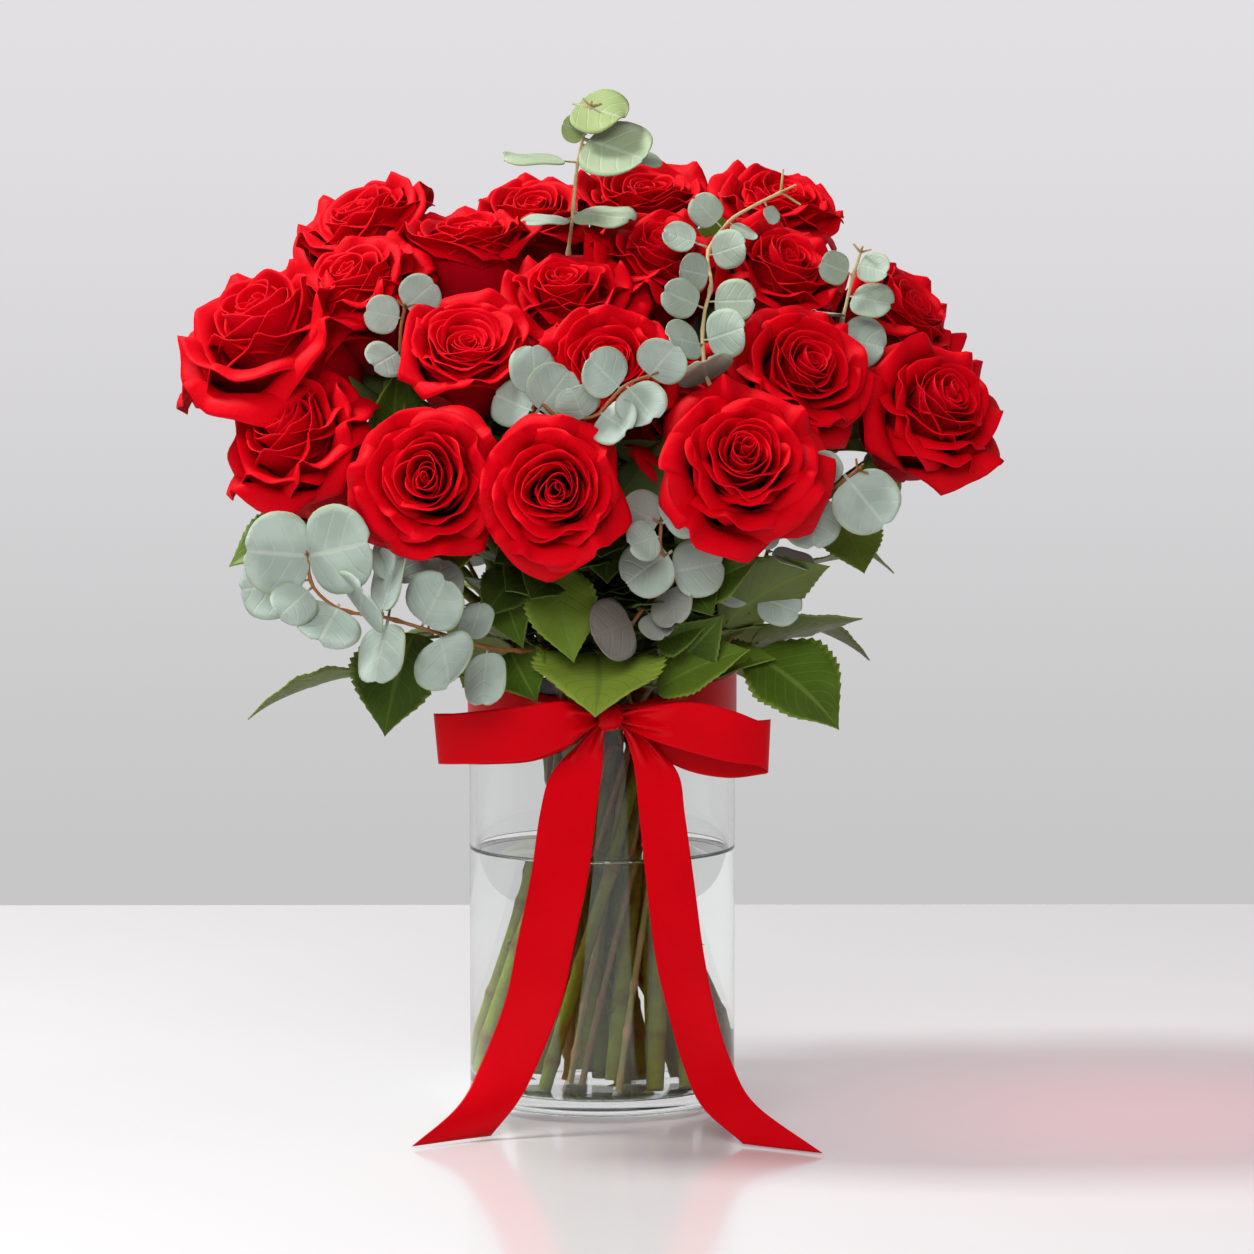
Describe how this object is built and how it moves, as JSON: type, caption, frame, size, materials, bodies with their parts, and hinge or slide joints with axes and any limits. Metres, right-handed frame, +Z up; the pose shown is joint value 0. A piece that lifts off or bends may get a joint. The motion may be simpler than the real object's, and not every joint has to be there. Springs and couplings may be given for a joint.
{
  "type": "rose bouquet in a glass vase",
  "caption": "Bouquet of red roses with eucalyptus and rose leaves, standing in a round glass vase of water, with a plain satin ribbon tied in a bow round its top.",
  "frame": {"origin": "centre of the vase's flat underside", "axes": "+Z up along the vase's axis; -Y is the front, where the bow is; +X is to the right as seen from the front"},
  "size_m": [0.3674, 0.2882, 0.4538],
  "materials": {
    "glass": "clear polished glass",
    "water": "clear still water",
    "petal": "velvety rose petal",
    "rose_stem": "satin rose stem and leaf",
    "eucalyptus": "matt waxy eucalyptus leaf",
    "ribbon": "satin"
  },
  "bodies": {
    "root": {"vase": "glass", "water": "water", "ribbon": "ribbon", "rose_01_bloom": "petal", "rose_02_bloom": "petal", "rose_03_bloom": "petal", "rose_04_bloom": "petal", "rose_05_bloom": "petal", "rose_06_bloom": "petal", "rose_07_bloom": "petal", "rose_08_bloom": "petal", "rose_09_bloom": "petal", "rose_10_bloom": "petal", "rose_11_bloom": "petal", "rose_12_bloom": "petal", "rose_13_bloom": "petal", "rose_14_bloom": "petal", "rose_15_bloom": "petal", "rose_16_bloom": "petal", "rose_17_bloom": "petal", "rose_18_bloom": "petal", "rose_19_bloom": "petal", "rose_20_bloom": "petal", "rose_21_bloom": "petal", "rose_22_bloom": "petal", "rose_23_bloom": "petal", "rose_24_bloom": "petal", "rose_01_stem": "rose_stem", "rose_02_stem": "rose_stem", "rose_03_stem": "rose_stem", "rose_04_stem": "rose_stem", "rose_05_stem": "rose_stem", "rose_06_stem": "rose_stem", "rose_07_stem": "rose_stem", "rose_08_stem": "rose_stem", "rose_09_stem": "rose_stem", "rose_10_stem": "rose_stem", "rose_11_stem": "rose_stem", "rose_12_stem": "rose_stem", "rose_13_stem": "rose_stem", "rose_14_stem": "rose_stem", "rose_15_stem": "rose_stem", "rose_16_stem": "rose_stem", "rose_17_stem": "rose_stem", "rose_18_stem": "rose_stem", "rose_19_stem": "rose_stem", "rose_20_stem": "rose_stem", "rose_21_stem": "rose_stem", "rose_22_stem": "rose_stem", "rose_23_stem": "rose_stem", "rose_24_stem": "rose_stem", "eucalyptus_1": "eucalyptus", "eucalyptus_2": "eucalyptus", "eucalyptus_3": "eucalyptus", "eucalyptus_4": "eucalyptus", "eucalyptus_5": "eucalyptus", "eucalyptus_6": "eucalyptus", "eucalyptus_7": "eucalyptus", "eucalyptus_8": "eucalyptus", "eucalyptus_9": "eucalyptus"}
  },
  "joints": []
}
